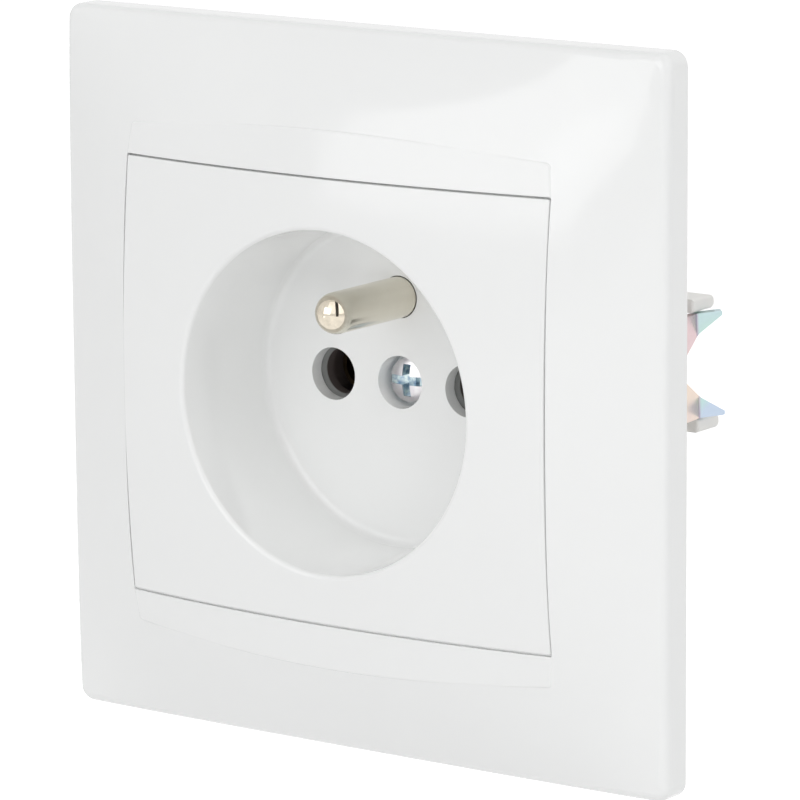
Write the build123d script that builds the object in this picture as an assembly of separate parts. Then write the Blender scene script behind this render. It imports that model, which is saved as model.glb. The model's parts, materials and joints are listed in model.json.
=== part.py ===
from build123d import *
import math
import os

# Flush wall socket with a round plug recess and an earth pin, in millimetres.
# The wall is the plane y = 0 and the room is towards -Y. X runs along the wall, Z is up.
# The origin is on the axis of the plug recess, in the plane of the wall.

# Cover frame: a square with a domed face
FRAME_WIDTH = 84.0
FRAME_CORNER = 1.8
FRAME_EDGE = 3.9
FRAME_RISE = 9.8
FRAME_FULLNESS_X = 0.29
FRAME_FULLNESS_Z = 0.65
FRAME_EDGE_ROUND = 1.25
FRAME_WALL = 2.2

# Raised pads of the frame, above and below the centre plate and flush with it
PAD_SIDE_MARGIN = 0.05
PAD_SIDE_LENGTH = 3.65
PAD_TAPER = 0.45
PAD_CROWN = 1.6
PAD_CORNER_ROUND = 0.6
PAD_EDGE_ROUND = 0.3

# Ledge inside the frame, on which the centre plate presses
LEDGE_WIDTH = 2.0
LEDGE_THICKNESS = 2.0
SKIRT_WALL = 1.5
NOTCH_WIDTH = 16.0
NOTCH_ROOM = 0.5

# Centre plate: a rectangle with a pillow-shaped face
PLATE_WIDTH = 58.9
PLATE_HEIGHT = 51.28
PLATE_FRONT = 12.2
PLATE_DROP_SIDE = 2.36
PLATE_DROP_TOP = 1.43
PLATE_CORNER = 0.25
PLATE_GAP_SIDE = 0.15
PLATE_GAP_TOP = 0.26
PLATE_WALL = 2.0
PLATE_SKIRT = 1.6
PLATE_EDGE_ROUND = 0.15

# Plug recess in the centre plate
RECESS_DEPTH = 16.4
RECESS_RIM_RADIUS = 19.8
RECESS_FLOOR_RADIUS = 19.2
RECESS_RIM_ROUND = 0.5
RECESS_FLOOR_ROUND = 1.0
RECESS_WALL = 1.2
RECESS_FLOOR = 1.8

# Pin and contact pattern
CONTACT_SPACING = 19.0
PIN_HEIGHT = 10.0
PIN_RADIUS = 2.4
PIN_STEM_RADIUS = 2.1
CONTACT_HOLE_RADIUS = 3.1
PIN_HOLE_CLEARANCE = 0.08

# Earth pin
PIN_REACH = 12.2
PIN_COLLAR_RADIUS = 3.6
PIN_COLLAR_THICKNESS = 1.0
PIN_SPIGOT_RADIUS = 1.6
PIN_RIVET_RADIUS = 2.1
PIN_RIVET_THICKNESS = 0.8

# Screw in the middle of the recess floor
COVER_SCREW_SINK = 1.1
COVER_SCREW_HEAD_RADIUS = 2.55
COVER_SCREW_HEAD_HEIGHT = 1.9
COVER_SCREW_RADIUS = 1.5
COVER_SCREW_LENGTH = 9.5
COVER_SCREW_SLOT_WIDTH = 1.0
COVER_SCREW_SLOT_DEPTH = 0.85
BOSS_RADIUS = 4.4
BOSS_WEB = 1.5
INSERT_ACROSS_FLATS = 6.2
INSERT_LENGTH = 6.0

# Steel support plate
SUPPORT_WIDTH = 71.0
SUPPORT_THICKNESS = 1.2
SUPPORT_CHAMFER = 11.0
BOX_SCREW_SPACING = 60.0
BOX_SLOT_LENGTH = 7.0
BOX_SLOT_WIDTH = 3.6

# Housing of the mechanism
BASE_WIDTH = 46.6
BASE_HEIGHT = 46.0
BASE_DEPTH = 28.0
BASE_CORNER = 7.0
BASE_POCKET_WALL = 0.3
BASE_REAR_WALL = 3.0
BASE_EDGE_CHAMFER = 1.5

# Insulating cover of the contact chambers
CONTACT_COVER_THICKNESS = 1.8
CONTACT_COVER_SIDE_GAP = 0.4
CONTACT_COVER_HOLE_RADIUS = 2.75
CONTACT_COVER_BEVEL = 0.45

# Contacts
SLEEVE_BORE_RADIUS = 2.45
SLEEVE_WALL = 0.5
SLEEVE_START = 2.1
SLEEVE_END_ROOM = 1.1
SLEEVE_SLIT = 0.8
CLIP_WALL = 0.5
CLIP_LENGTH = 3.0
CLIP_OFFSET = 2.4
CLIP_SLIT = 1.6
STRIP_THICKNESS = 1.0
STRIP_WIDTH = 5.0
STRAP_EYE_RADIUS = 2.8
TONGUE_LENGTH = 6.5

# Terminals
TERMINAL_INSET = 9.8
CLAMP_WIDTH = 8.4
CLAMP_HEIGHT = 9.0
CLAMP_LENGTH = 5.5
CLAMP_WALL = 1.2
TERMINAL_SCREW_RADIUS = 1.5
TERMINAL_SCREW_LENGTH = 3.8
TERMINAL_HEAD_RADIUS = 2.6
TERMINAL_HEAD_HEIGHT = 1.4
TERMINAL_SLOT_WIDTH = 0.8
TERMINAL_SLOT_DEPTH = 0.7
WIRE_HOLE_RADIUS = 1.6
WIRE_HOLE_SPACING = 3.8

# Claws
CLAW_CENTRE_Z = 1.0
CLAW_WIDTH = 12.4
CLAW_THICKNESS = 0.9
CLAW_PIVOT_INSET = 1.5
CLAW_PIVOT_Y = 10.0
CLAW_FRONT_REACH = 4.7
CLAW_BEND_REACH = 2.7
CLAW_BEND_Y = 27.4
CLAW_TOOTH_LENGTH = 3.2
CLAW_TOOTH_ANGLE = 45.0
CLAW_FOLD_RADIUS = 0.9
CLAW_NOTCH_START = 21.8
CLAW_NOTCH_HALF = 3.7
CLAW_TIP_HALF = 5.4
CLAW_TIP_ROUND = 0.3
CLAW_FLANGE_WIDTH = 6.4
CLAW_SCREW_SIDE_GAP = 0.2
CLAW_SCREW_Z = 4.3
CLAW_SCREW_RADIUS = 1.5
CLAW_SCREW_LENGTH = 15.0
CLAW_SCREW_HEAD_RADIUS = 2.5
CLAW_SCREW_HEAD_HEIGHT = 1.9
CLAW_HOLE_CLEARANCE = 0.45
CLAW_SLOT_ROOM = 0.6

# Lugs of the housing beside each claw
LUG_THICKNESS = 1.6
LUG_ROOT = 3.3
LUG_REACH = 2.7
UPPER_LUG_SINK = 1.95
LOWER_LUG_SINK = 0.8
LUG_LENGTH = 4.7
LUG_GAP = 0.15
LUG_END_ROUND = 0.7
LUG_EDGE_ROUND = 0.35

# Rivets between support plate and housing
RIVET_SIDE_INSET = 5.1
RIVET_TOP_INSET = 4.8
RIVET_RADIUS = 1.4
RIVET_HEAD_RADIUS = 2.5
RIVET_HEAD_HEIGHT = 0.8
RIVET_HEAD_ROUND = 0.45
RIVET_LENGTH = 8.0

# Screw heads with a cross recess
HEAD_DOME_RISE = 0.6
CROSS_WIDTH = 1.05
CROSS_DEPTH = 1.35
CROSS_END_DEPTH = 0.6
CROSS_FRACTION = 0.74
SCREW_TIP_CHAMFER = 0.3

# Clearances
SEAT_GAP = 0.2
RUNNING_GAP = 0.05
CHAMBER_GAP = 0.3

# How far a cutting tool reaches past the face it cuts
CUT_PAST = 1.0

# Places that follow from the sizes above
FLOOR_Y = RECESS_DEPTH - PLATE_FRONT
CUP_BACK_Y = FLOOR_Y + RECESS_FLOOR
COVER_FRONT_Y = CUP_BACK_Y + SEAT_GAP
POCKET_Y = COVER_FRONT_Y + CONTACT_COVER_THICKNESS
CUP_OUTER_RADIUS = RECESS_RIM_RADIUS + RECESS_WALL
POCKET_RADIUS = CUP_OUTER_RADIUS + BASE_POCKET_WALL
SUPPORT_FRONT_Y = -SUPPORT_THICKNESS
LEDGE_FRONT_Y = SUPPORT_FRONT_Y - LEDGE_THICKNESS
OPENING_WIDTH = PLATE_WIDTH + 2 * PLATE_GAP_SIDE
OPENING_HEIGHT = PLATE_HEIGHT + 2 * PLATE_GAP_TOP
HEAD_TOP_Y = FLOOR_Y + COVER_SCREW_SINK
HEAD_SEAT_Y = HEAD_TOP_Y + COVER_SCREW_HEAD_HEIGHT
BOSS_BACK_Y = HEAD_SEAT_Y + BOSS_WEB
INSERT_FRONT_Y = BOSS_BACK_Y + CHAMBER_GAP
SLEEVE_FRONT_Y = POCKET_Y + SLEEVE_START
CHAMBER_BACK_Y = BASE_DEPTH - BASE_REAR_WALL
SLEEVE_BACK_Y = CHAMBER_BACK_Y - SLEEVE_END_ROOM
SLEEVE_RADIUS = SLEEVE_BORE_RADIUS + SLEEVE_WALL
CLAMP_BACK_Y = SLEEVE_BACK_Y - STRIP_THICKNESS - CHAMBER_GAP
CLAMP_MIDDLE_Y = CLAMP_BACK_Y - CLAMP_LENGTH / 2
TERMINAL_HEIGHT = BASE_HEIGHT / 2 - TERMINAL_INSET
CLAW_PIVOT_X = BASE_WIDTH / 2 - CLAW_PIVOT_INSET
CLAW_FRONT_X = BASE_WIDTH / 2 + CLAW_FRONT_REACH
CLAW_BEND_X = BASE_WIDTH / 2 + CLAW_BEND_REACH
CLAW_SCREW_X = BASE_WIDTH / 2 + CLAW_SCREW_SIDE_GAP + CLAW_SCREW_RADIUS
BLOCK_DEPTH = PLATE_FRONT + FRAME_EDGE


def frame_height(x, z):
    """Height of the frame's dome in front of the wall."""
    u = 2 * x / FRAME_WIDTH
    v = 2 * z / FRAME_WIDTH
    crown_x = 1 - (1 - FRAME_FULLNESS_X) * u**2 - FRAME_FULLNESS_X * u**4
    crown_z = 1 - (1 - FRAME_FULLNESS_Z) * v**2 - FRAME_FULLNESS_Z * v**4
    return FRAME_EDGE + FRAME_RISE * crown_x * crown_z


def plate_height(x, z):
    """Height of the centre plate's pillow in front of the wall."""
    side_drop = PLATE_DROP_SIDE * (2 * x / PLATE_WIDTH) ** 2
    top_drop = PLATE_DROP_TOP * (2 * z / PLATE_HEIGHT) ** 2
    return PLATE_FRONT - side_drop - top_drop


def domed_block(height, half_width, steps=8):
    """Solid behind the surface y = -height(x, z), as deep everywhere."""
    places = [half_width * (2 * i / steps - 1) for i in range(steps + 1)]
    grid = [[(x, -height(x, z), z) for x in places] for z in places]
    face = Face.make_surface_from_array_of_points(grid, tol=0.002)
    return Solid.extrude(face, (0, BLOCK_DEPTH, 0))


def prism(outline, front, back):
    """Extrude an outline drawn in X and Z from y = front to y = back."""
    return extrude(Plane.XZ.offset(-back) * outline, back - front)


def block(x0, x1, y0, y1, z0, z1):
    return Pos((x0 + x1) / 2, (y0 + y1) / 2, (z0 + z1) / 2) * Box(x1 - x0, y1 - y0, z1 - z0)


def rod(radius, front, back, x=0.0, z=0.0):
    """Cylinder along Y."""
    return Pos(x, (front + back) / 2, z) * Rot(90, 0, 0) * Cylinder(radius, back - front)


def post(radius, bottom, top, x=0.0, y=0.0):
    """Cylinder along Z."""
    return Pos(x, y, (bottom + top) / 2) * Cylinder(radius, top - bottom)


def turned(profile, x=0.0, z=0.0):
    """Solid of revolution about a line along Y, from (radius, y) points."""
    face = make_face(Polyline(*profile, close=True))
    return Pos(x, 0, z) * revolve(face, Axis.Y)


def slot_outline(length, width, x, z, upright):
    turn = 90 if upright else 0
    return Pos(x, z) * Rot(0, 0, turn) * SlotOverall(length, width)


# Cover frame
def pad_outline():
    """Outline of the upper pad, from inside the opening to its crown."""
    half = OPENING_WIDTH / 2 + PAD_SIDE_MARGIN
    foot = OPENING_HEIGHT / 2
    corner_z = foot + PAD_SIDE_LENGTH
    corner_x = half - PAD_TAPER
    start = foot - CUT_PAST
    left = [(-corner_x, corner_z), (-half, foot), (-half, start)]
    right = [(half, start), (half, foot), (corner_x, corner_z)]
    sides = Polyline(*left, *right)
    crown = ThreePointArc((corner_x, corner_z), (0, corner_z + PAD_CROWN), (-corner_x, corner_z))
    face = make_face([sides, crown])
    outer_corners = face.vertices().sort_by(Axis.Y)[-2:]
    return fillet(outer_corners, PAD_CORNER_ROUND)


def make_outer_frame():
    dome = domed_block(frame_height, FRAME_WIDTH / 2 + CUT_PAST)
    outline = RectangleRounded(FRAME_WIDTH, FRAME_WIDTH, FRAME_CORNER)
    body = dome & prism(outline, -BLOCK_DEPTH, 0)
    front_face = body.faces().sort_by(Axis.Y)[0]
    body = fillet(front_face.edges(), FRAME_EDGE_ROUND)

    pillow = domed_block(plate_height, FRAME_WIDTH / 2)
    pad_block = prism(pad_outline(), -BLOCK_DEPTH, -FRAME_EDGE)
    pad = pillow & pad_block
    pad = fillet(pad.faces().sort_by(Axis.Y)[0].edges().sort_by(Axis.Z)[1:], PAD_EDGE_ROUND)
    in_front = pad_block - pillow
    body = body - in_front + pad - mirror(in_front, Plane.XY) + mirror(pad, Plane.XY)

    inner = FRAME_WIDTH - 2 * FRAME_WALL
    inner_outline = RectangleRounded(inner, inner, FRAME_CORNER / 2)
    cavity = (Pos(0, FRAME_WALL, 0) * dome) & prism(inner_outline, -BLOCK_DEPTH, 0)

    skirt_width = OPENING_WIDTH + 2 * SKIRT_WALL
    skirt_height = OPENING_HEIGHT + 2 * SKIRT_WALL
    skirt = prism(Rectangle(skirt_width, skirt_height), -BLOCK_DEPTH, SUPPORT_FRONT_Y)
    notch_depth = LEDGE_FRONT_Y - NOTCH_ROOM
    notch_reach = FRAME_WIDTH / 2 - FRAME_WALL
    half_notch = NOTCH_WIDTH / 2
    skirt -= block(-notch_reach, notch_reach, notch_depth, 0, -half_notch, half_notch)
    skirt -= block(-half_notch, half_notch, notch_depth, 0, -notch_reach, notch_reach)
    body = body - (cavity - skirt)

    opening_outline = RectangleRounded(OPENING_WIDTH, OPENING_HEIGHT, PLATE_CORNER)
    opening = prism(opening_outline, -BLOCK_DEPTH, LEDGE_FRONT_Y)
    ledge_width = OPENING_WIDTH - 2 * LEDGE_WIDTH
    ledge_height = OPENING_HEIGHT - 2 * LEDGE_WIDTH
    window = prism(Rectangle(ledge_width, ledge_height), -BLOCK_DEPTH, 0)
    return body - opening - window


# Centre plate with the plug recess
def recess_tool():
    """The space that a plug fills, with a round foot."""
    rim_y = -plate_height(RECESS_RIM_RADIUS, 0)
    slope = (RECESS_RIM_RADIUS - RECESS_FLOOR_RADIUS) / (FLOOR_Y - rim_y)
    mouth_y = -PLATE_FRONT - FRAME_EDGE
    mouth_radius = RECESS_RIM_RADIUS + slope * (rim_y - mouth_y)
    tool = turned([(0, mouth_y), (mouth_radius, mouth_y), (RECESS_FLOOR_RADIUS, FLOOR_Y), (0, FLOOR_Y)])
    foot = tool.edges().filter_by(GeomType.CIRCLE).sort_by(Axis.Y)[-1]
    return fillet(foot, RECESS_FLOOR_ROUND)


def make_centre_plate():
    pillow = domed_block(plate_height, FRAME_WIDTH / 2)
    outline = RectangleRounded(PLATE_WIDTH, PLATE_HEIGHT, PLATE_CORNER)
    body = pillow & prism(outline, -BLOCK_DEPTH, LEDGE_FRONT_Y)
    body = fillet(body.faces().sort_by(Axis.Y)[0].edges(), PLATE_EDGE_ROUND)
    hollow_outline = Rectangle(PLATE_WIDTH - 2 * PLATE_SKIRT, PLATE_HEIGHT - 2 * PLATE_SKIRT)
    body -= (Pos(0, PLATE_WALL, 0) * pillow) & prism(hollow_outline, -BLOCK_DEPTH, LEDGE_FRONT_Y)

    cup_front_y = PLATE_WALL / 2 - plate_height(CUP_OUTER_RADIUS, 0)
    cup_profile = [
        (0, cup_front_y),
        (CUP_OUTER_RADIUS, cup_front_y),
        (CUP_OUTER_RADIUS, LEDGE_FRONT_Y),
        (RECESS_FLOOR_RADIUS + RECESS_WALL, CUP_BACK_Y),
        (0, CUP_BACK_Y),
    ]
    body += turned(cup_profile)
    body += rod(BOSS_RADIUS, FLOOR_Y + RECESS_FLOOR / 2, BOSS_BACK_Y)
    body -= recess_tool()
    rim = body.edges().filter_by(lambda e: e.is_closed).sort_by(Axis.Y)[0]
    body = fillet(rim, RECESS_RIM_ROUND)

    for x in contact_places():
        body -= rod(CONTACT_HOLE_RADIUS, FLOOR_Y - RECESS_FLOOR, POCKET_Y, x)
    body -= rod(PIN_RADIUS + PIN_HOLE_CLEARANCE, FLOOR_Y - RECESS_FLOOR, POCKET_Y, 0, PIN_HEIGHT)
    body -= rod(CONTACT_HOLE_RADIUS, FLOOR_Y - RECESS_FLOOR, HEAD_SEAT_Y)
    body -= rod(COVER_SCREW_RADIUS + CHAMBER_GAP, HEAD_SEAT_Y - RECESS_FLOOR, POCKET_Y + BOSS_BACK_Y)
    return body


def contact_places():
    return [-CONTACT_SPACING / 2, CONTACT_SPACING / 2]


# Screws
def cross_recess(head_radius, top, x=0.0, z=0.0):
    """Cross in a screw head, whose arms slope to a point below the middle."""
    reach = head_radius * CROSS_FRACTION
    above = top - CUT_PAST
    arm_end = top + CROSS_END_DEPTH
    below = top + CROSS_DEPTH
    half = CROSS_WIDTH / 2
    right_side = [(reach, above), (reach, arm_end), (half, below)]
    left_side = [(-half, below), (-reach, arm_end), (-reach, above)]
    arm = make_face(Polyline(*right_side, *left_side, close=True))
    upright = extrude(Plane.XY.offset(-half) * arm, CROSS_WIDTH)
    return Pos(x, 0, z) * (upright + Rot(0, 90, 0) * upright)


def domed_screw(head_radius, head_height, top, shank_radius, tip, x=0.0, z=0.0):
    """Screw along Y with a slightly domed head, whose crown is at y = top."""
    seat = top + head_height
    rim = top + HEAD_DOME_RISE
    shank = [(shank_radius, seat), (shank_radius, tip), (0, tip), (0, top)]
    halfway = (head_radius / math.sqrt(2), top + HEAD_DOME_RISE / 2)
    head = Line((head_radius, rim), (head_radius, seat))
    step = Line((head_radius, seat), (shank_radius, seat))
    outline = [head, step, Polyline(*shank), ThreePointArc((0, top), halfway, (head_radius, rim))]
    screw = revolve(make_face(outline), Axis.Y)
    screw = chamfer(screw.edges().filter_by(GeomType.CIRCLE).sort_by(Axis.Y)[-1], SCREW_TIP_CHAMFER)
    return Pos(x, 0, z) * screw - cross_recess(head_radius, top, x, z)


def make_cover_screw():
    tip = HEAD_SEAT_Y + COVER_SCREW_LENGTH
    screw = domed_screw(COVER_SCREW_HEAD_RADIUS, COVER_SCREW_HEAD_HEIGHT, HEAD_TOP_Y, COVER_SCREW_RADIUS, tip)
    half = COVER_SCREW_HEAD_RADIUS + CUT_PAST
    slot_back = HEAD_TOP_Y + COVER_SCREW_SLOT_DEPTH
    half_slot = COVER_SCREW_SLOT_WIDTH / 2
    return screw - block(-half, half, HEAD_TOP_Y - CUT_PAST, slot_back, -half_slot, half_slot)


def make_cover_screw_insert():
    outline = RegularPolygon(INSERT_ACROSS_FLATS / 2, 6, major_radius=False)
    insert = prism(outline, INSERT_FRONT_Y, INSERT_FRONT_Y + INSERT_LENGTH)
    return insert - rod(COVER_SCREW_RADIUS + RUNNING_GAP, POCKET_Y, BASE_DEPTH)


# Earth pin and its strap
def make_earth_pin():
    nose_start = FLOOR_Y - PIN_REACH
    tip = nose_start - PIN_RADIUS
    nose_shift = PIN_RADIUS / math.sqrt(2)
    collar_front = POCKET_Y + SEAT_GAP
    collar_back = collar_front + PIN_COLLAR_THICKNESS
    spigot_back = collar_back + STRIP_THICKNESS
    rivet_back = spigot_back + PIN_RIVET_THICKNESS
    steps = [
        (0, rivet_back),
        (PIN_RIVET_RADIUS, rivet_back),
        (PIN_RIVET_RADIUS, spigot_back),
        (PIN_SPIGOT_RADIUS, spigot_back),
        (PIN_SPIGOT_RADIUS, collar_back),
        (PIN_COLLAR_RADIUS, collar_back),
        (PIN_COLLAR_RADIUS, collar_front),
        (PIN_STEM_RADIUS, collar_front),
        (PIN_STEM_RADIUS, FLOOR_Y),
        (PIN_RADIUS, FLOOR_Y),
        (PIN_RADIUS, nose_start),
    ]
    nose = ThreePointArc((PIN_RADIUS, nose_start), (nose_shift, nose_start - nose_shift), (0, tip))
    outline = [Polyline(*steps), nose, Line((0, tip), (0, rivet_back))]
    return Pos(0, 0, PIN_HEIGHT) * revolve(make_face(outline), Axis.Y)


def make_earth_strap():
    front = POCKET_Y + SEAT_GAP + PIN_COLLAR_THICKNESS
    back = front + STRIP_THICKNESS
    half = STRIP_WIDTH / 2
    plate = block(-half, half, front, back, PIN_HEIGHT - half, TERMINAL_HEIGHT + STRIP_THICKNESS)
    plate += rod(STRAP_EYE_RADIUS, front, back, 0, PIN_HEIGHT)
    plate += block(-half, half, front, CLAMP_BACK_Y, TERMINAL_HEIGHT, TERMINAL_HEIGHT + STRIP_THICKNESS)
    return plate - rod(PIN_SPIGOT_RADIUS + RUNNING_GAP, front - CUT_PAST, back + CUT_PAST, 0, PIN_HEIGHT)


# Contacts
def make_contact(x):
    sleeve = rod(SLEEVE_RADIUS, SLEEVE_FRONT_Y, SLEEVE_BACK_Y, x)
    web_front = SLEEVE_BACK_Y - STRIP_THICKNESS
    half = STRIP_WIDTH / 2
    tongue_top = -TERMINAL_HEIGHT
    tongue_bottom = tongue_top - STRIP_THICKNESS
    sleeve += block(x - half, x + half, web_front, SLEEVE_BACK_Y, tongue_bottom, -SLEEVE_BORE_RADIUS)
    sleeve += block(x - half, x + half, web_front - TONGUE_LENGTH, SLEEVE_BACK_Y, tongue_bottom, tongue_top)
    sleeve -= rod(SLEEVE_BORE_RADIUS, SLEEVE_FRONT_Y - CUT_PAST, SLEEVE_BACK_Y + CUT_PAST, x)
    half_slit = SLEEVE_SLIT / 2
    front = SLEEVE_FRONT_Y - CUT_PAST
    back = SLEEVE_BACK_Y + CUT_PAST
    return sleeve - block(x - half_slit, x + half_slit, front, back, 0, SLEEVE_RADIUS + CUT_PAST)


def make_contact_spring(x):
    front = SLEEVE_FRONT_Y + CLIP_OFFSET
    back = front + CLIP_LENGTH
    inner = SLEEVE_RADIUS + RUNNING_GAP
    outer = inner + CLIP_WALL
    clip = rod(outer, front, back, x) - rod(inner, front - CUT_PAST, back + CUT_PAST, x)
    half_slit = CLIP_SLIT / 2
    return clip - block(x - half_slit, x + half_slit, front - CUT_PAST, back + CUT_PAST, 0, outer + CUT_PAST)


# Terminals: each is a cage on the end of a strip, with a screw from outside
def terminal_places():
    """Name, x and side of each terminal: -1 below the middle, 1 above it."""
    left, right = contact_places()
    return [("line", left, -1), ("neutral", right, -1), ("earth", 0.0, 1)]


def make_clamp(x, side):
    inner_z = TERMINAL_HEIGHT - SEAT_GAP - CLAMP_WALL
    outer_z = inner_z + CLAMP_HEIGHT
    half = CLAMP_WIDTH / 2
    front = CLAMP_BACK_Y - CLAMP_LENGTH
    cage = block(x - half, x + half, front, CLAMP_BACK_Y, inner_z, outer_z)
    mouth = half - CLAMP_WALL
    mouth_front = front - CUT_PAST
    mouth_back = CLAMP_BACK_Y + CUT_PAST
    cage -= block(x - mouth, x + mouth, mouth_front, mouth_back, inner_z + CLAMP_WALL, outer_z - CLAMP_WALL)
    hole_radius = TERMINAL_SCREW_RADIUS + RUNNING_GAP
    cage -= post(hole_radius, outer_z - CLAMP_HEIGHT / 2, outer_z + CUT_PAST, x, CLAMP_MIDDLE_Y)
    return cage if side > 0 else mirror(cage, Plane.XY)


def make_terminal_screw(x, side):
    seat = TERMINAL_HEIGHT - CLAMP_WALL + CLAMP_HEIGHT
    top = seat + TERMINAL_HEAD_HEIGHT
    screw = post(TERMINAL_SCREW_RADIUS, seat - TERMINAL_SCREW_LENGTH, seat, x, CLAMP_MIDDLE_Y)
    screw += post(TERMINAL_HEAD_RADIUS, seat, top, x, CLAMP_MIDDLE_Y)
    half = TERMINAL_HEAD_RADIUS + CUT_PAST
    front = CLAMP_MIDDLE_Y - TERMINAL_SLOT_WIDTH / 2
    back = CLAMP_MIDDLE_Y + TERMINAL_SLOT_WIDTH / 2
    screw -= block(x - half, x + half, front, back, top - TERMINAL_SLOT_DEPTH, top + CUT_PAST)
    return screw if side > 0 else mirror(screw, Plane.XY)


# Support plate
def make_support_plate():
    outline = chamfer(Rectangle(SUPPORT_WIDTH, SUPPORT_WIDTH).vertices(), SUPPORT_CHAMFER)
    half = BOX_SCREW_SPACING / 2
    for sign in (-1, 1):
        outline -= slot_outline(BOX_SLOT_LENGTH, BOX_SLOT_WIDTH, sign * half, 0, False)
        outline -= slot_outline(BOX_SLOT_LENGTH, BOX_SLOT_WIDTH, 0, sign * half, True)
        outline -= Pos(sign * CLAW_SCREW_X, CLAW_SCREW_Z) * Circle(CLAW_SCREW_RADIUS + SEAT_GAP)
    outline -= Circle(POCKET_RADIUS)
    for x, z in rivet_places():
        outline -= Pos(x, z) * Circle(RIVET_RADIUS + RUNNING_GAP)
    return prism(outline, SUPPORT_FRONT_Y, 0)


def rivet_places():
    side = BASE_WIDTH / 2 - RIVET_SIDE_INSET
    top = BASE_HEIGHT / 2 - RIVET_TOP_INSET
    return [(x, z) for z in (top, -top) for x in (-side, side)]


def make_rivet(x, z):
    head = rod(RIVET_HEAD_RADIUS, SUPPORT_FRONT_Y - RIVET_HEAD_HEIGHT, SUPPORT_FRONT_Y, x, z)
    head = chamfer(head.edges().sort_by(Axis.Y)[0], RIVET_HEAD_ROUND)
    return head + rod(RIVET_RADIUS, SUPPORT_FRONT_Y, RIVET_LENGTH, x, z)


# Insulating cover of the contact chambers
def make_contact_cover():
    radius = POCKET_RADIUS - CONTACT_COVER_SIDE_GAP
    cover = rod(radius, COVER_FRONT_Y, POCKET_Y)
    for x in contact_places():
        cover -= rod(CONTACT_COVER_HOLE_RADIUS, COVER_FRONT_Y - CUT_PAST, POCKET_Y + CUT_PAST, x)
        bevel_radius = CONTACT_COVER_HOLE_RADIUS + CONTACT_COVER_BEVEL
        bevel = [
            (0, COVER_FRONT_Y - CONTACT_COVER_BEVEL),
            (bevel_radius + CONTACT_COVER_BEVEL, COVER_FRONT_Y - CONTACT_COVER_BEVEL),
            (CONTACT_COVER_HOLE_RADIUS, COVER_FRONT_Y + CONTACT_COVER_BEVEL),
            (0, COVER_FRONT_Y + CONTACT_COVER_BEVEL),
        ]
        cover -= turned(bevel, x)
    cover -= rod(PIN_STEM_RADIUS + SEAT_GAP, COVER_FRONT_Y - CUT_PAST, POCKET_Y + CUT_PAST, 0, PIN_HEIGHT)
    return cover - rod(BOSS_RADIUS + CHAMBER_GAP, COVER_FRONT_Y - CUT_PAST, POCKET_Y + CUT_PAST)


# Housing of the mechanism
def make_lug(front, bottom):
    """Finger beside the right claw, which guides the claw's arm."""
    inner_x = BASE_WIDTH / 2 - LUG_ROOT
    outer_x = BASE_WIDTH / 2 + LUG_REACH
    lug = block(inner_x, outer_x, front, front + LUG_LENGTH, bottom, bottom + LUG_THICKNESS)
    rear_edges = lug.edges().filter_by(Axis.X).group_by(Axis.Y)[-1]
    lug = fillet(rear_edges, LUG_END_ROUND)
    return fillet(lug.edges().group_by(Axis.X)[-1], LUG_EDGE_ROUND)


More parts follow.
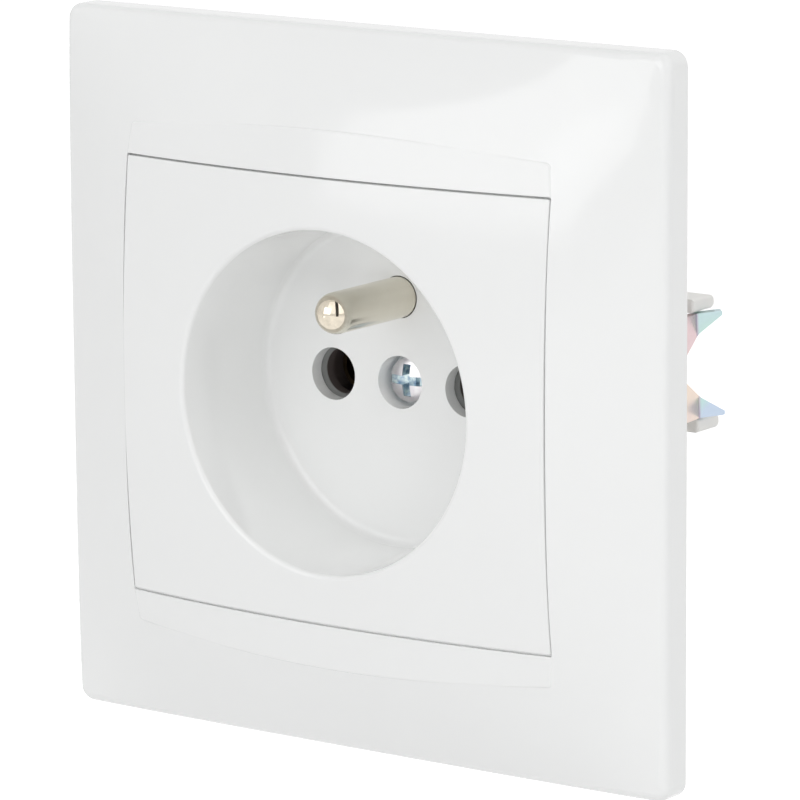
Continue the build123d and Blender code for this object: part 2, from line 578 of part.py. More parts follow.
def make_mechanism_base():
    base = prism(RectangleRounded(BASE_WIDTH, BASE_HEIGHT, BASE_CORNER), 0, BASE_DEPTH)
    base = chamfer(base.faces().sort_by(Axis.Y)[-1].edges(), BASE_EDGE_CHAMFER)
    lug_gap_z = CLAW_WIDTH / 2 + LUG_GAP
    upper_lug = make_lug(BASE_DEPTH - UPPER_LUG_SINK, CLAW_CENTRE_Z + lug_gap_z)
    lower_lug = make_lug(BASE_DEPTH - LOWER_LUG_SINK, CLAW_CENTRE_Z - lug_gap_z - LUG_THICKNESS)
    for lug in (upper_lug, lower_lug):
        base += lug + mirror(lug, Plane.YZ)
    base -= rod(POCKET_RADIUS, -CUT_PAST, POCKET_Y)
    base -= rod(BOSS_RADIUS + CHAMBER_GAP, POCKET_Y - CUT_PAST, BOSS_BACK_Y + CHAMBER_GAP)
    insert_flats = INSERT_ACROSS_FLATS + 2 * RUNNING_GAP
    insert_outline = RegularPolygon(insert_flats / 2, 6, major_radius=False)
    base -= prism(insert_outline, INSERT_FRONT_Y, INSERT_FRONT_Y + INSERT_LENGTH)
    base -= rod(COVER_SCREW_RADIUS + CHAMBER_GAP, POCKET_Y, HEAD_SEAT_Y + COVER_SCREW_LENGTH + CHAMBER_GAP)

    open_front = POCKET_Y - CUT_PAST
    clip_radius = SLEEVE_RADIUS + RUNNING_GAP + CLIP_WALL + SEAT_GAP
    for x in contact_places():
        base -= rod(clip_radius, open_front, CHAMBER_BACK_Y, x)
    base -= rod(PIN_COLLAR_RADIUS + SEAT_GAP, open_front, CLAMP_BACK_Y, 0, PIN_HEIGHT)

    clamp_half = CLAMP_WIDTH / 2 + SEAT_GAP
    inner_z = TERMINAL_HEIGHT - SEAT_GAP - CLAMP_WALL - SEAT_GAP
    outer_z = inner_z + CLAMP_HEIGHT + 2 * SEAT_GAP
    strip_half = STRIP_WIDTH / 2 + SEAT_GAP
    wire_z = TERMINAL_HEIGHT + CLAMP_HEIGHT / 2 - CLAMP_WALL
    wire_end = BASE_DEPTH + CUT_PAST
    for _, x, side in terminal_places():
        strip_start = 0 if side < 0 else PIN_HEIGHT - strip_half
        chamber = block(x - clamp_half, x + clamp_half, open_front, CHAMBER_BACK_Y, inner_z, outer_z)
        strip_end = inner_z + CUT_PAST
        chamber += block(x - strip_half, x + strip_half, open_front, CHAMBER_BACK_Y, strip_start, strip_end)
        access_radius = TERMINAL_HEAD_RADIUS + CHAMBER_GAP
        chamber += post(access_radius, outer_z - CUT_PAST, BASE_HEIGHT, x, CLAMP_MIDDLE_Y)
        for shift in (-WIRE_HOLE_SPACING / 2, WIRE_HOLE_SPACING / 2):
            chamber += rod(WIRE_HOLE_RADIUS, CHAMBER_BACK_Y - CUT_PAST, wire_end, x + shift, wire_z)
        base -= chamber if side > 0 else mirror(chamber, Plane.XY)

    pocket_front = CLAW_PIVOT_Y - CLAW_THICKNESS / 2 - CLAW_SLOT_ROOM
    pocket_back = CLAW_PIVOT_Y + CLAW_THICKNESS / 2 + CHAMBER_GAP
    pocket_inner = CLAW_PIVOT_X - CLAW_THICKNESS / 2 - SEAT_GAP
    flange_top = CLAW_CENTRE_Z + CLAW_WIDTH / 2
    pocket_top = flange_top + SEAT_GAP
    pocket_bottom = flange_top - CLAW_FLANGE_WIDTH - SEAT_GAP
    slot = block(pocket_inner, BASE_WIDTH, pocket_front, pocket_back, pocket_bottom, pocket_top)
    base -= slot + mirror(slot, Plane.YZ)
    for x, z in rivet_places():
        base -= rod(RIVET_RADIUS + RUNNING_GAP, -CUT_PAST, RIVET_LENGTH + CHAMBER_GAP, x, z)
    return base


# Claws: a folded strip, whose flange rocks on the housing as its screw draws it forward
def make_right_claw():
    slant = math.radians(CLAW_TOOTH_ANGLE)
    tooth_x = CLAW_BEND_X - CLAW_THICKNESS / 2 + CLAW_TOOTH_LENGTH * math.sin(slant)
    tooth_y = CLAW_BEND_Y + CLAW_TOOTH_LENGTH * math.cos(slant)
    path = FilletPolyline(
        (CLAW_PIVOT_X, CLAW_PIVOT_Y),
        (CLAW_FRONT_X - CLAW_THICKNESS / 2, CLAW_PIVOT_Y),
        (CLAW_BEND_X - CLAW_THICKNESS / 2, CLAW_BEND_Y),
        (tooth_x, tooth_y),
        radius=CLAW_FOLD_RADIUS,
    )
    section = trace(path, CLAW_THICKNESS) + Pos(CLAW_PIVOT_X, CLAW_PIVOT_Y) * Circle(CLAW_THICKNESS / 2)
    bottom = CLAW_CENTRE_Z - CLAW_WIDTH / 2
    claw = extrude(Plane.XY.offset(bottom) * section, CLAW_WIDTH)

    flange_bottom = CLAW_CENTRE_Z + CLAW_WIDTH / 2 - CLAW_FLANGE_WIDTH
    arm_inner_x = CLAW_FRONT_X - CLAW_THICKNESS - CLAW_FOLD_RADIUS
    flange_back = CLAW_PIVOT_Y + CLAW_THICKNESS + CUT_PAST
    flange_inner_x = CLAW_PIVOT_X - CLAW_THICKNESS
    claw -= block(flange_inner_x, arm_inner_x, 0, flange_back, bottom - CUT_PAST, flange_bottom)

    rise = (CLAW_TIP_HALF - CLAW_NOTCH_HALF) / (tooth_y - CLAW_BEND_Y)
    far_y = tooth_y + CLAW_THICKNESS
    far_half = CLAW_TIP_HALF + rise * CLAW_THICKNESS
    notch = Polyline(
        (CLAW_NOTCH_START, 0),
        (CLAW_BEND_Y, CLAW_NOTCH_HALF),
        (far_y, far_half),
        (far_y, -far_half),
        (CLAW_BEND_Y, -CLAW_NOTCH_HALF),
        close=True,
    )
    cutter = extrude(Plane.YZ.offset(CLAW_PIVOT_X) * make_face(notch), 2 * CLAW_WIDTH)
    claw -= Pos(0, 0, CLAW_CENTRE_Z) * cutter
    tooth_way = Axis((0, 0, 0), (math.sin(slant), math.cos(slant), 0))
    tooth_ends = claw.faces().filter_by(tooth_way).sort_by(Axis.Y)[-2:]
    claw = fillet(tooth_ends.edges().filter_by(Axis.Z, reverse=True), CLAW_TIP_ROUND)
    hole_radius = CLAW_SCREW_RADIUS + CLAW_HOLE_CLEARANCE
    hole_front = CLAW_PIVOT_Y - CLAW_THICKNESS
    return claw - rod(hole_radius, hole_front, CLAW_PIVOT_Y + CLAW_THICKNESS, CLAW_SCREW_X, CLAW_SCREW_Z)


def make_right_claw_screw():
    top = SUPPORT_FRONT_Y - CLAW_SCREW_HEAD_HEIGHT
    tip = SUPPORT_FRONT_Y + CLAW_SCREW_LENGTH
    place = (CLAW_SCREW_X, CLAW_SCREW_Z)
    return domed_screw(CLAW_SCREW_HEAD_RADIUS, CLAW_SCREW_HEAD_HEIGHT, top, CLAW_SCREW_RADIUS, tip, *place)


# All nodes
def make_parts():
    parts = {
        "outer_frame": make_outer_frame(),
        "centre_plate": make_centre_plate(),
        "cover_screw": make_cover_screw(),
        "cover_screw_insert": make_cover_screw_insert(),
        "earth_pin": make_earth_pin(),
        "earth_strap": make_earth_strap(),
        "support_plate": make_support_plate(),
        "mechanism_base": make_mechanism_base(),
        "contact_cover": make_contact_cover(),
    }
    for hand, x in zip(("left", "right"), contact_places()):
        parts[hand + "_contact"] = make_contact(x)
        parts[hand + "_contact_spring"] = make_contact_spring(x)
    for name, x, side in terminal_places():
        parts[name + "_clamp"] = make_clamp(x, side)
        parts[name + "_terminal_screw"] = make_terminal_screw(x, side)
    claw = make_right_claw()
    claw_screw = make_right_claw_screw()
    parts["right_claw"] = claw
    parts["left_claw"] = mirror(claw, Plane.YZ)
    parts["right_claw_screw"] = claw_screw
    parts["left_claw_screw"] = mirror(claw_screw, Plane.YZ)
    for corner, place in zip(("top_left", "top_right", "bottom_left", "bottom_right"), rivet_places()):
        parts[corner + "_plate_rivet"] = make_rivet(*place)
    return parts


os.makedirs("parts", exist_ok=True)
for node, shape in make_parts().items():
    export_step(shape, "parts/" + node + ".step")
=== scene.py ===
import bmesh
import bpy
import json
import math
from mathutils import Matrix, Vector


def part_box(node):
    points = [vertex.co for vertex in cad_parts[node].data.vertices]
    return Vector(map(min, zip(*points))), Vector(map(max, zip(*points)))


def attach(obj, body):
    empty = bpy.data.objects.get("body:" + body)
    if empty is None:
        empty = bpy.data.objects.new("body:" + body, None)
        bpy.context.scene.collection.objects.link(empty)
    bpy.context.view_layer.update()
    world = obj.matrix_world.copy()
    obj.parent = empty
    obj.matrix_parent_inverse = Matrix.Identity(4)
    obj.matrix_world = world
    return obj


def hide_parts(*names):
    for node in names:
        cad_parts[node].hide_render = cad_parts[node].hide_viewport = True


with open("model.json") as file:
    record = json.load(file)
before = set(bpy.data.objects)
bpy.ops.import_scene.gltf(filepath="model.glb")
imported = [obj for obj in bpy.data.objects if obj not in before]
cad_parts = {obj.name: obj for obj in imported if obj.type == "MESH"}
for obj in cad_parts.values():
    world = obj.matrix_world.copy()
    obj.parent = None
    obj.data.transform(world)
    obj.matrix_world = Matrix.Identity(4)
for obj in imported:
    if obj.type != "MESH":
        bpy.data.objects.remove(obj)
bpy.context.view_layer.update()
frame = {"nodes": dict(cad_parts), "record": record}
scene = bpy.context.scene
nodes = frame["nodes"]

MM = 0.001

# Camera at the photograph's view, in degrees and metres
CAMERA_AZIMUTH = 35.856
CAMERA_ELEVATION = 11.345
CAMERA_ROLL = -0.422
CAMERA_TARGET = Vector((0.003034, 0.0, -0.001031))
CAMERA_DISTANCE = 0.62393
FOCAL_PIXELS = 5459.9
PHOTO_PIXELS = 800
SENSOR_MM = 36.0

# Claws: places and lengths in metres, and the narrowing and the lean as shares
CLAW_FOLD_Y = 27.2 * MM
CLAW_TIP_Y = 30.0 * MM
CLAW_TIP_NARROWING = 0.62
CLAW_TIP_LIFT = 0.35 * MM
CLAW_LEAN = 0.055
CLAW_LEAN_START_Y = 14.0 * MM
CLAW_LEAN_RUN = 8.0 * MM

# Flange in the gap round the centre plate, in millimetres
PLATE_FRONT = 12.2
PLATE_DROP_SIDE = 2.36
PLATE_DROP_TOP = 1.43
FLANGE_WIDTH_SIDE = 0.13
FLANGE_WIDTH_TOP = 0.24
FLANGE_DEPTH = 0.5
FLANGE_EXTRA_DEPTH_TOP = 0.6
FLANGE_THICKNESS = 0.6
FLANGE_INNER_INSET = 0.1
FLANGE_OUTER_INSET = 0.16
FLANGE_STEPS = 28

# Floor, backdrop brightness and the dark stand, in metres
FLOOR_CENTRE = (0, 1.2, -0.14)
FLOOR_SIZE = 9.0
FLOOR_GLOW = 0.56
WORLD_FILL = 0.505
WORLD_SEEN = 1.0
STAND_AZIMUTH = 42.4
STAND_DISTANCE = 0.84
STAND_HEIGHT = 0.545
STAND_WIDTH = 0.30
STAND_LENGTH = 2.1

# Lamps: name, azimuth, elevation, distance, width, height and radiance, in degrees and metres.
# The main lamp lights the socket and shows in its gloss, and the others do one of the two.
MAIN_LAMP = ("softbox", -16, 17, 1.2, 0.90, 0.68, 0.70)
FILL_LAMPS = (
    ("front_up", 14, 47, 1.5, 1.4, 0.5, 0.95),
    ("front", 8, 0, 1.3, 0.6, 0.6, 0.85),
    ("above", 8, 68, 1.4, 1.2, 0.6, 1.20),
    ("low", 45, -4, 0.9, 0.6, 0.14, 3.3),
    ("below", -8, -26, 1.3, 0.5, 0.4, 0.85),
    ("side", 88, 5, 1.2, 0.6, 0.6, 1.05),
    ("rear", 165, 30, 1.5, 1.0, 0.8, 1.7),
)
GLOSS_LAMPS = (
    ("sheen", -16, 17, 1.21, 0.90, 0.68, 0.8),
    ("ahead", 10, 38, 1.3, 1.1, 1.6, 0.55),
    ("right", 66, 37, 1.3, 0.66, 1.6, 0.7),
)

# Values that more than one material has: noise scales per metre, and bump depths in metres
PLASTIC_IOR = 1.49
TONE_SCALE = 45.0
PATCH_SCALE = 160.0
GRAIN_DEPTH = 0.02 * MM
SCRATCH_DEPTH = 0.03 * MM
WAVE_DEPTH = 0.4 * MM


def direction(azimuth, elevation):
    """Unit vector away from the socket. Azimuth is in degrees from -Y towards +X."""
    a, e = math.radians(azimuth), math.radians(elevation)
    return Vector((math.sin(a) * math.cos(e), -math.cos(a) * math.cos(e), math.sin(e)))


def place_camera():
    back = direction(CAMERA_AZIMUTH, CAMERA_ELEVATION)
    roll = math.radians(CAMERA_ROLL)
    right = (-back).cross(Vector((0, 0, 1))).normalized()
    up = right.cross(-back)
    turned_right = math.cos(roll) * right + math.sin(roll) * up
    turned_up = math.cos(roll) * up - math.sin(roll) * right
    data = bpy.data.cameras.new("camera")
    data.sensor_width = SENSOR_MM
    data.sensor_fit = "HORIZONTAL"
    data.lens = FOCAL_PIXELS / PHOTO_PIXELS * SENSOR_MM
    data.clip_start = 0.01
    data.clip_end = 50.0
    camera = bpy.data.objects.new("camera", data)
    scene.collection.objects.link(camera)
    axes = Matrix((turned_right, turned_up, back)).transposed().to_4x4()
    camera.matrix_world = Matrix.Translation(CAMERA_TARGET + back * CAMERA_DISTANCE) @ axes
    scene.camera = camera


place_camera()
scene.view_settings.view_transform = "Standard"


# Materials
class Nodes:
    """Short way to add and join shader nodes."""

    def __init__(self, tree):
        self.tree = tree

    def add(self, kind, **settings):
        node = self.tree.nodes.new(kind)
        for name, value in settings.items():
            setattr(node, name, value)
        return node

    def join(self, source, target):
        self.tree.links.new(source, target)

    def noise(self, scale, detail=2.0, roughness=0.5, stretch=None):
        place = self.add("ShaderNodeTexCoord").outputs["Object"]
        texture = self.add("ShaderNodeTexNoise")
        texture.inputs["Scale"].default_value = scale
        texture.inputs["Detail"].default_value = detail
        texture.inputs["Roughness"].default_value = roughness
        if stretch:
            mapping = self.add("ShaderNodeMapping")
            mapping.inputs["Scale"].default_value = stretch
            self.join(place, mapping.inputs["Vector"])
            place = mapping.outputs["Vector"]
        self.join(place, texture.inputs["Vector"])
        return texture.outputs["Fac"]

    def ramp(self, source, stops):
        ramp = self.add("ShaderNodeValToRGB")
        elements = ramp.color_ramp.elements
        while len(elements) < len(stops):
            elements.new(0.5)
        for element, (position, colour) in zip(elements, stops):
            element.position = position
            element.color = (*colour, 1.0)
        self.join(source, ramp.inputs["Fac"])
        return ramp.outputs["Color"]

    def tone(self, source, dark, light, start=0.35):
        """Dark up to start and light from 1 - start."""
        return self.ramp(source, [(start, dark), (1 - start, light)])

    def span(self, source, low, high):
        span = self.add("ShaderNodeMapRange")
        span.inputs["To Min"].default_value = low
        span.inputs["To Max"].default_value = high
        self.join(source, span.inputs["Value"])
        return span.outputs["Result"]

    def place(self):
        """Object-space x, y and z in millimetres."""
        coords = self.add("ShaderNodeTexCoord")
        scaled = self.add("ShaderNodeVectorMath", operation="SCALE")
        scaled.inputs["Scale"].default_value = 1 / MM
        self.join(coords.outputs["Object"], scaled.inputs[0])
        parts = self.add("ShaderNodeSeparateXYZ")
        self.join(scaled.outputs[0], parts.inputs[0])
        return parts.outputs[0], parts.outputs[1], parts.outputs[2]

    def math(self, operation, first, second=None):
        node = self.add("ShaderNodeMath", operation=operation)
        for socket, value in zip(node.inputs, (first, second)):
            if isinstance(value, (int, float)):
                socket.default_value = value
            elif value is not None:
                self.join(value, socket)
        return node.outputs[0]

    def radius(self, a, b):
        """Distance from the line a = 0, b = 0."""
        square = self.math("ADD", self.math("MULTIPLY", a, a), self.math("MULTIPLY", b, b))
        return self.math("SQRT", square)

    def step(self, source, start, end):
        """0 before start and 1 after end, smooth between them."""
        node = self.add("ShaderNodeMapRange", interpolation_type="SMOOTHSTEP")
        node.inputs["From Min"].default_value = start
        node.inputs["From Max"].default_value = end
        self.join(source, node.inputs["Value"])
        return node.outputs["Result"]

    def until(self, source, start, end):
        """1 before start and 0 after end, smooth between them."""
        return self.math("SUBTRACT", 1.0, self.step(source, start, end))

    def mix(self, amount, first, second, kind="RGBA"):
        node = self.add("ShaderNodeMix", data_type=kind)
        sockets = [i for i in node.inputs if i.enabled]
        self.join(amount, sockets[0])
        for socket, value in zip(sockets[1:], (first, second)):
            if isinstance(value, tuple):
                socket.default_value = (*value, 1.0)
            elif isinstance(value, (int, float)):
                socket.default_value = value
            else:
                self.join(value, socket)
        return [o for o in node.outputs if o.enabled][0]

    def bump(self, source, strength, distance=GRAIN_DEPTH, under=None):
        bump = self.add("ShaderNodeBump")
        bump.inputs["Strength"].default_value = strength
        bump.inputs["Distance"].default_value = distance
        self.join(source, bump.inputs["Height"])
        if under:
            self.join(under, bump.inputs["Normal"])
        return bump.outputs["Normal"]

    def seen(self):
        """1 for camera, glossy and transmission rays, and 0 for the rays that light the socket."""
        path = self.add("ShaderNodeLightPath")
        rays = self.math("MAXIMUM", path.outputs["Is Camera Ray"], path.outputs["Is Glossy Ray"])
        return self.math("MAXIMUM", rays, path.outputs["Is Transmission Ray"])


def new_material(name):
    material = bpy.data.materials.new(name)
    material.use_nodes = True
    tree = material.node_tree
    return material, Nodes(tree), tree.nodes["Principled BSDF"]


def moulded_surface(n, shader, roughness, grain_scale, grain_strength, wave=None):
    """Uneven roughness and fine grain, over a slower wave if there is one."""
    n.join(n.span(n.noise(PATCH_SCALE, 4.0), *roughness), shader.inputs["Roughness"])
    n.join(n.bump(n.noise(grain_scale, 2.0), grain_strength, under=wave), shader.inputs["Normal"])


def gloss_plastic():
    """White moulded plastic: a faint tone variation, a slow surface wave and fine grain."""
    colour, spread = (0.925, 0.932, 0.928), 0.006
    low = tuple(c * (1 - spread) for c in colour)
    high = tuple(c * (1 + spread) for c in colour)
    wave_scale, wave_strength = 28.0, 0.02
    material, n, shader = new_material("white_gloss")
    n.join(n.tone(n.noise(TONE_SCALE, 3.0), low, high, 0.3), shader.inputs["Base Color"])
    wave = n.bump(n.noise(wave_scale, 1.0), wave_strength, WAVE_DEPTH)
    moulded_surface(n, shader, roughness=(0.085, 0.12), grain_scale=2600.0, grain_strength=0.05, wave=wave)
    shader.inputs["IOR"].default_value = PLASTIC_IOR
    return material


def ring_plastic():
    """Grey insulating cover, with painted shade down in its holes, which are darker than its front face.
    """
    front_dark, front_light, deep_colour_and_shade = (0.20, 0.205, 0.20), (0.25, 0.255, 0.25), (0.12, 0.099, 0.094)
    front_end, deep_start = 6.55, 6.8  # y in millimetres
    material, n, shader = new_material("cover_grey_painted_shade")
    front = n.tone(n.noise(300.0, 3.0), front_dark, front_light, 0.3)
    depth = n.place()[1]
    # Painted shade: past front_end the colour turns dark, as the holes are shaded.
    n.join(n.mix(n.step(depth, front_end, deep_start), front, deep_colour_and_shade), shader.inputs["Base Color"])
    moulded_surface(n, shader, roughness=(0.4, 0.55), grain_scale=3000.0, grain_strength=0.3)
    return material


def housing_plastic():
    """Pale grey moulding, with painted shade in the chambers inside it."""
    outside_dark, outside_light, chamber_shade = (0.855, 0.845, 0.82), (0.89, 0.88, 0.855), (0.14, 0.113, 0.107)
    # Where the painted shade starts and ends, in millimetres: y at its front and back, and radius at its
    # edge
    chamber_front, chamber_back, chamber_edge = (7.7, 8.0), (24.5, 25.0), (14.0, 15.5)
    material, n, shader = new_material("housing_grey_painted_shade")
    outside = n.tone(n.noise(TONE_SCALE, 3.0), outside_dark, outside_light, 0.3)
    x, y, z = n.place()
    inside = n.step(y, *chamber_front)
    centre = n.until(n.radius(x, z), *chamber_edge)
    before = n.until(y, *chamber_back)
    # Painted shade: dark inside the chambers, where little light reaches.
    dark = n.math("MULTIPLY", n.math("MULTIPLY", inside, centre), before)
    n.join(n.mix(dark, outside, chamber_shade), shader.inputs["Base Color"])
    moulded_surface(n, shader, roughness=(0.34, 0.46), grain_scale=3200.0, grain_strength=0.25)
    shader.inputs["IOR"].default_value = PLASTIC_IOR
    return material


def metal(name, dark, light, roughness, scratches, stretch, scale=900.0):
    """Metal with uneven tone, drawn or turned marks and small rough spots."""
    smooth_share, rough_share = 0.88, 1.24
    material, n, shader = new_material(name)
    n.join(n.tone(n.noise(420.0, 5.0, 0.6), dark, light, 0.32), shader.inputs["Base Color"])
    shader.inputs["Metallic"].default_value = 1.0
    marks = n.noise(scale, 3.0, 0.55, stretch)
    n.join(n.span(marks, smooth_share * roughness, rough_share * roughness), shader.inputs["Roughness"])
    n.join(n.bump(marks, scratches, SCRATCH_DEPTH), shader.inputs["Normal"])
    return material


def satin_pin():
    """Satin nickel with faint streaks along the pin and a polished nose."""
    satin_dark, satin_light = (0.72, 0.68, 0.58), (0.79, 0.755, 0.655)
    nose_dark, nose_light = (0.60, 0.54, 0.44), (0.73, 0.66, 0.55)
    nose_start, nose_end = -9.25, -8.85  # y in millimetres
    rough_low, rough_high, rough_nose = 0.17, 0.27, 0.07
    material, n, shader = new_material("satin_nickel")
    streaks = n.noise(700.0, 3.0, 0.5, (1.0, 0.06, 1.0))
    cloud = n.noise(260.0, 3.0)
    both = n.math("ADD", n.math("MULTIPLY", streaks, 0.5), n.math("MULTIPLY", cloud, 0.5))
    satin = n.tone(both, satin_dark, satin_light)
    nose = n.tone(n.noise(1500.0, 3.0), nose_dark, nose_light, 0.3)
    polished = n.until(n.place()[1], nose_start, nose_end)
    n.join(n.mix(polished, satin, nose), shader.inputs["Base Color"])
    shader.inputs["Metallic"].default_value = 1.0
    rough = n.span(streaks, rough_low, rough_high)
    n.join(n.mix(polished, rough, rough_nose, "FLOAT"), shader.inputs["Roughness"])
    n.join(n.bump(streaks, 0.05), shader.inputs["Normal"])
    return material


def film_metal(name, colour, roughness, grain=0.12):
    """Zinc with a thin chromate film, whose colour comes from the nodes that colour(n) adds."""
    material, n, shader = new_material(name)
    n.join(colour(n), shader.inputs["Base Color"])
    shader.inputs["Metallic"].default_value = 1.0
    n.join(n.span(n.noise(1400.0, 3.0), *roughness), shader.inputs["Roughness"])
    n.join(n.bump(n.noise(2200.0, 2.0), grain), shader.inputs["Normal"])
    return material


def head_film_and_shade(n):
    """Lilac-grey crown, with a dark blue-green down in the cross and slot: partly the film's tint, partly
    painted shade.
    """
    crown_top, crown_curve = 5.3, 0.0923  # y at the top, and drop for each square millimetre outwards
    deep_start, deep_end = 0.06, 0.30  # millimetres below the crown
    x, y, z = n.place()
    crown = n.tone(n.noise(900.0, 2.0), (0.66, 0.63, 0.66), (0.76, 0.75, 0.75))
    # Blue-green film tint, made darker as painted shade in the cross and slot.
    deep_colour_and_shade = n.tone(n.noise(1900.0, 2.0), (0.24, 0.35, 0.47), (0.66, 0.76, 0.76))
    out = n.radius(x, z)
    drop = n.math("MULTIPLY", n.math("MULTIPLY", out, out), crown_curve)
    depth = n.math("SUBTRACT", y, n.math("ADD", drop, crown_top))
    return n.mix(n.step(depth, deep_start, deep_end), crown, deep_colour_and_shade)


def claw_film_and_shade(n):
    """Pink-brown arm, a purple line of painted shade along the fold, and ice-blue teeth."""
    claw_low, claw_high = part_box("right_claw")
    middle = (claw_low[2] + claw_high[2]) / 2 / MM
    lower_end, upper_start = -1.0, 3.0  # z in millimetres
    line_start, line_full, teeth_start, teeth_full = 26.6, 27.25, 27.0, 27.45  # y in millimetres
    wander, sharp_share = 1.2, 0.12
    y, z = n.place()[1:]
    drift = n.math("MULTIPLY", n.math("SUBTRACT", n.noise(330.0, 3.0), 0.5), wander)
    lean = n.math("MULTIPLY", n.math("SUBTRACT", z, middle), CLAW_LEAN)
    straight = n.math("ADD", y, lean)
    above = n.step(z, lower_end, upper_start)
    grain = n.noise(210.0, 2.0)
    low_arm = n.tone(grain, (0.67, 0.56, 0.51), (0.70, 0.59, 0.50))
    high_arm = n.tone(grain, (0.62, 0.47, 0.49), (0.65, 0.52, 0.50))
    patches = n.noise(330.0, 0.0)
    low_teeth = n.tone(patches, (0.45, 0.61, 0.60), (0.47, 0.55, 0.66))
    high_teeth = n.tone(patches, (0.46, 0.61, 0.57), (0.47, 0.59, 0.62))
    arm = n.mix(above, low_arm, high_arm)
    teeth = n.mix(above, low_teeth, high_teeth)
    # Painted shade: a dark purple line along the crease of the fold.
    arm_with_fold_shade = n.mix(n.step(n.math("ADD", straight, drift), line_start, line_full), arm, (0.42, 0.32, 0.42))
    sharp = n.math("ADD", straight, n.math("MULTIPLY", drift, sharp_share))
    return n.mix(n.step(sharp, teeth_start, teeth_full), arm_with_fold_shade, teeth)


def screw_film(n):
    """Film colours of a small screw, drifting between lilac, blue-green and straw."""
    lilac, blue = (0.74, 0.62, 0.68), (0.62, 0.62, 0.76)
    green, straw = (0.55, 0.72, 0.74), (0.78, 0.78, 0.66)
    return n.ramp(n.noise(420.0, 2.0), [(0.30, lilac), (0.45, blue), (0.58, green), (0.72, straw)])


white = gloss_plastic()
small_zinc = film_metal("small_zinc", screw_film, roughness=(0.20, 0.32))
by_slot = {
    "white_plastic": white,
    "housing_plastic": housing_plastic(),
    "cover_plastic": ring_plastic(),
    "nickel_plating": satin_pin(),
    "zinc_screw": film_metal("zinc_screw", head_film_and_shade, roughness=(0.28, 0.38)),
    "zinc_sheet": metal(
        "zinc_sheet", (0.50, 0.52, 0.53), (0.68, 0.70, 0.71),
        roughness=0.34, scratches=0.12, stretch=(0.15, 1.0, 1.0), scale=700.0,
    ),
    "claw_zinc": film_metal("claw_zinc", claw_film_and_shade, roughness=(0.20, 0.30), grain=0.05),
    "spring_steel": metal(
        "spring_steel", (0.40, 0.40, 0.41), (0.56, 0.56, 0.57),
        roughness=0.26, scratches=0.1, stretch=(1.0, 1.0, 0.1),
    ),
    # Dark brass: partly tarnish, partly painted shade for contacts deep in the holes.
    "contact_brass": metal(
        "contact_brass", (0.13, 0.09, 0.05), (0.22, 0.16, 0.09),
        roughness=0.34, scratches=0.12, stretch=(1.0, 0.12, 1.0),
    ),
}
for part in frame["record"]["subparts"]:
    node = nodes[part["node"]]
    node.data.materials.clear()
    node.data.materials.append(by_slot[part["material_slot"]])
claw_screws = ("left_claw_screw", "right_claw_screw")
terminal_screws = ("line_terminal_screw", "neutral_terminal_screw", "earth_terminal_screw")
for name in claw_screws + terminal_screws:
    nodes[name].data.materials[0] = small_zinc


def add_object(name, data):
    item = bpy.data.objects.new(name, data)
    scene.collection.objects.link(item)
    return item


def share(value, start, run):
    """0 before start and 1 after start + run, straight between them."""
    return min(1.0, max(0.0, (value - start) / run))


def pointed_claw(node_name):
    """The node's claw with the real one's pointed teeth, whose tips lean back and up."""
    source = nodes[node_name]
    low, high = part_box(node_name)
    middle, half = (low[2] + high[2]) / 2, (high[2] - low[2]) / 2
    data = source.data.copy()
    data.name = node_name + "_folded"
    data.transform(source.matrix_world)
    for vertex in data.vertices:
        p = vertex.co
        away = p.z - middle
        along = share(p.y, CLAW_FOLD_Y, CLAW_TIP_Y - CLAW_FOLD_Y)
        if along > 0:
            edge = math.copysign(half, away)
            away = edge - (edge - away) * (1 - CLAW_TIP_NARROWING * along) + CLAW_TIP_LIFT * along
        p.y -= CLAW_LEAN * away * share(p.y, CLAW_LEAN_START_Y, CLAW_LEAN_RUN)
        p.z = middle + away
    claw = add_object(node_name + "_folded", data)
    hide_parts(node_name)
    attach(claw, node_name)


for name in ("left_claw", "right_claw"):
    pointed_claw(name)


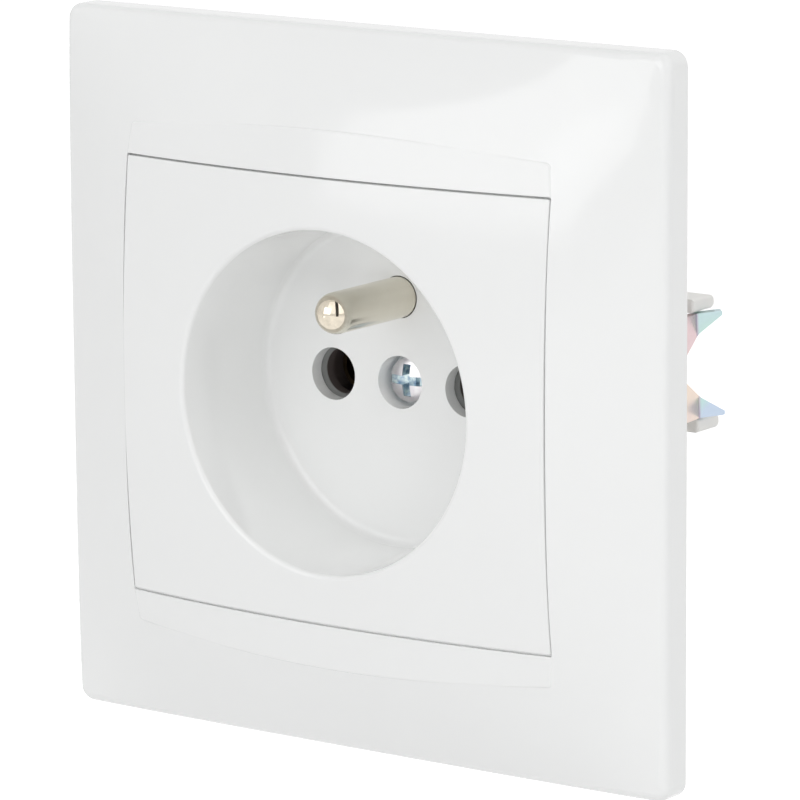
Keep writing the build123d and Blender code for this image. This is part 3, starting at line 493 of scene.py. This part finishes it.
def gap_flange():
    """Flange of the centre plate, seen down in the gap round it."""
    plate_x, plate_z = (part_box("centre_plate")[1][axis] / MM for axis in (0, 2))

    def front_y(x, z):
        face = PLATE_FRONT - PLATE_DROP_SIDE * (x / plate_x) ** 2 - PLATE_DROP_TOP * (z / plate_z) ** 2
        height_share = (z + plate_z) / (2 * plate_z)
        return FLANGE_DEPTH + FLANGE_EXTRA_DEPTH_TOP * height_share - face

    inner, outer = [], []
    runs = (
        ((-plate_x, plate_z), (plate_x, plate_z), (0, FLANGE_WIDTH_TOP)),
        ((plate_x, plate_z), (plate_x, -plate_z), (FLANGE_WIDTH_SIDE, 0)),
        ((plate_x, -plate_z), (-plate_x, -plate_z), (0, -FLANGE_WIDTH_TOP)),
        ((-plate_x, -plate_z), (-plate_x, plate_z), (-FLANGE_WIDTH_SIDE, 0)),
    )
    for start, stop, out in runs:
        length = math.dist(start, stop)
        way = ((stop[0] - start[0]) / length, (stop[1] - start[1]) / length)
        end_width = FLANGE_WIDTH_SIDE if way[0] else FLANGE_WIDTH_TOP
        outer_inset = FLANGE_OUTER_INSET - end_width
        for i in range(FLANGE_STEPS + 1):
            along = i / FLANGE_STEPS
            run = FLANGE_INNER_INSET + (length - 2 * FLANGE_INNER_INSET) * along
            inner.append((start[0] + way[0] * run, start[1] + way[1] * run))
            run = outer_inset + (length - 2 * outer_inset) * along
            outer.append((start[0] + way[0] * run + out[0], start[1] + way[1] * run + out[1]))
    verts, faces = [], []
    for (inner_x, inner_z), (outer_x, outer_z) in zip(inner, outer):
        y = front_y(inner_x, inner_z)
        back = y + FLANGE_THICKNESS
        verts += [(inner_x, y, inner_z), (outer_x, y, outer_z)]
        verts += [(outer_x, back, outer_z), (inner_x, back, inner_z)]
    for i in range(len(inner)):
        here, following = 4 * i, 4 * ((i + 1) % len(inner))
        for j in range(4):
            k = (j + 1) % 4
            faces.append((here + j, here + k, following + k, following + j))
    data = bpy.data.meshes.new("plate_flange")
    data.from_pydata([tuple(c * MM for c in v) for v in verts], [], faces)
    shape = bmesh.new()
    shape.from_mesh(data)
    bmesh.ops.recalc_face_normals(shape, faces=shape.faces)
    shape.to_mesh(data)
    shape.free()
    data.materials.append(white)
    flange = add_object("plate_flange", data)
    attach(flange, "socket")


gap_flange()


# Floor, light and background
def plane(name, centre, size_x, size_y):
    data = bpy.data.meshes.new(name)
    x, y = size_x / 2, size_y / 2
    data.from_pydata([(-x, -y, 0), (x, -y, 0), (x, y, 0), (-x, y, 0)], [], [(0, 1, 2, 3)])
    item = add_object(name, data)
    item.location = centre
    return item


def pale_floor():
    """Floor that keeps the shadow and adds its own glow only where it is seen."""
    floor = plane("floor", FLOOR_CENTRE, FLOOR_SIZE, FLOOR_SIZE)
    floor_paint, n, shader = new_material("floor_paint")
    shader.inputs["Base Color"].default_value = (0.82, 0.82, 0.82, 1)
    shader.inputs["Roughness"].default_value = 0.9
    shader.inputs["Specular IOR Level"].default_value = 0.1
    glow = n.add("ShaderNodeEmission")
    glow.inputs["Strength"].default_value = FLOOR_GLOW
    both = n.add("ShaderNodeAddShader")
    choose = n.add("ShaderNodeMixShader")
    n.join(shader.outputs[0], both.inputs[0])
    n.join(glow.outputs[0], both.inputs[1])
    n.join(n.seen(), choose.inputs["Fac"])
    n.join(shader.outputs[0], choose.inputs[1])
    n.join(both.outputs[0], choose.inputs[2])
    output = floor_paint.node_tree.nodes["Material Output"]
    n.join(choose.outputs[0], output.inputs["Surface"])
    floor.data.materials.append(floor_paint)


def area_light(name, azimuth, elevation, distance, width, height, radiance):
    """Rectangular lamp that faces the socket."""
    towards = direction(azimuth, elevation)
    data = bpy.data.lights.new(name, "AREA")
    data.shape = "RECTANGLE"
    data.size = width
    data.size_y = height
    data.energy = radiance * math.pi * width * height
    lamp = add_object(name, data)
    lamp.location = towards * distance
    lamp.rotation_euler = towards.to_track_quat("Z", "Y").to_euler()
    return lamp


def dark_stand():
    """Light stand beside the camera, which shows only in gloss, as on the pin's nose."""
    place = direction(STAND_AZIMUTH, 0) * STAND_DISTANCE + Vector((0, 0, STAND_HEIGHT))
    stand = plane("light_stand", place, STAND_WIDTH, STAND_LENGTH)
    stand.rotation_euler = place.to_track_quat("Z", "Y").to_euler()
    stand_paint, _, shader = new_material("stand_paint")
    shader.inputs["Base Color"].default_value = (0.03, 0.03, 0.03, 1)
    stand.data.materials.append(stand_paint)
    stand.visible_camera = False
    stand.visible_diffuse = False
    stand.visible_shadow = False


def white_world():
    """White where it is seen, and dimmer where it lights the socket."""
    world = bpy.data.worlds.new("world")
    scene.world = world
    world.use_nodes = True
    n = Nodes(world.node_tree)
    background = world.node_tree.nodes["Background"]
    background.inputs["Color"].default_value = (1, 1, 1, 1)
    n.join(n.span(n.seen(), WORLD_FILL, WORLD_SEEN), background.inputs["Strength"])


pale_floor()
area_light(*MAIN_LAMP)
for row in FILL_LAMPS:
    area_light(*row).visible_glossy = False
for row in GLOSS_LAMPS:
    area_light(*row).visible_diffuse = False
dark_stand()
white_world()
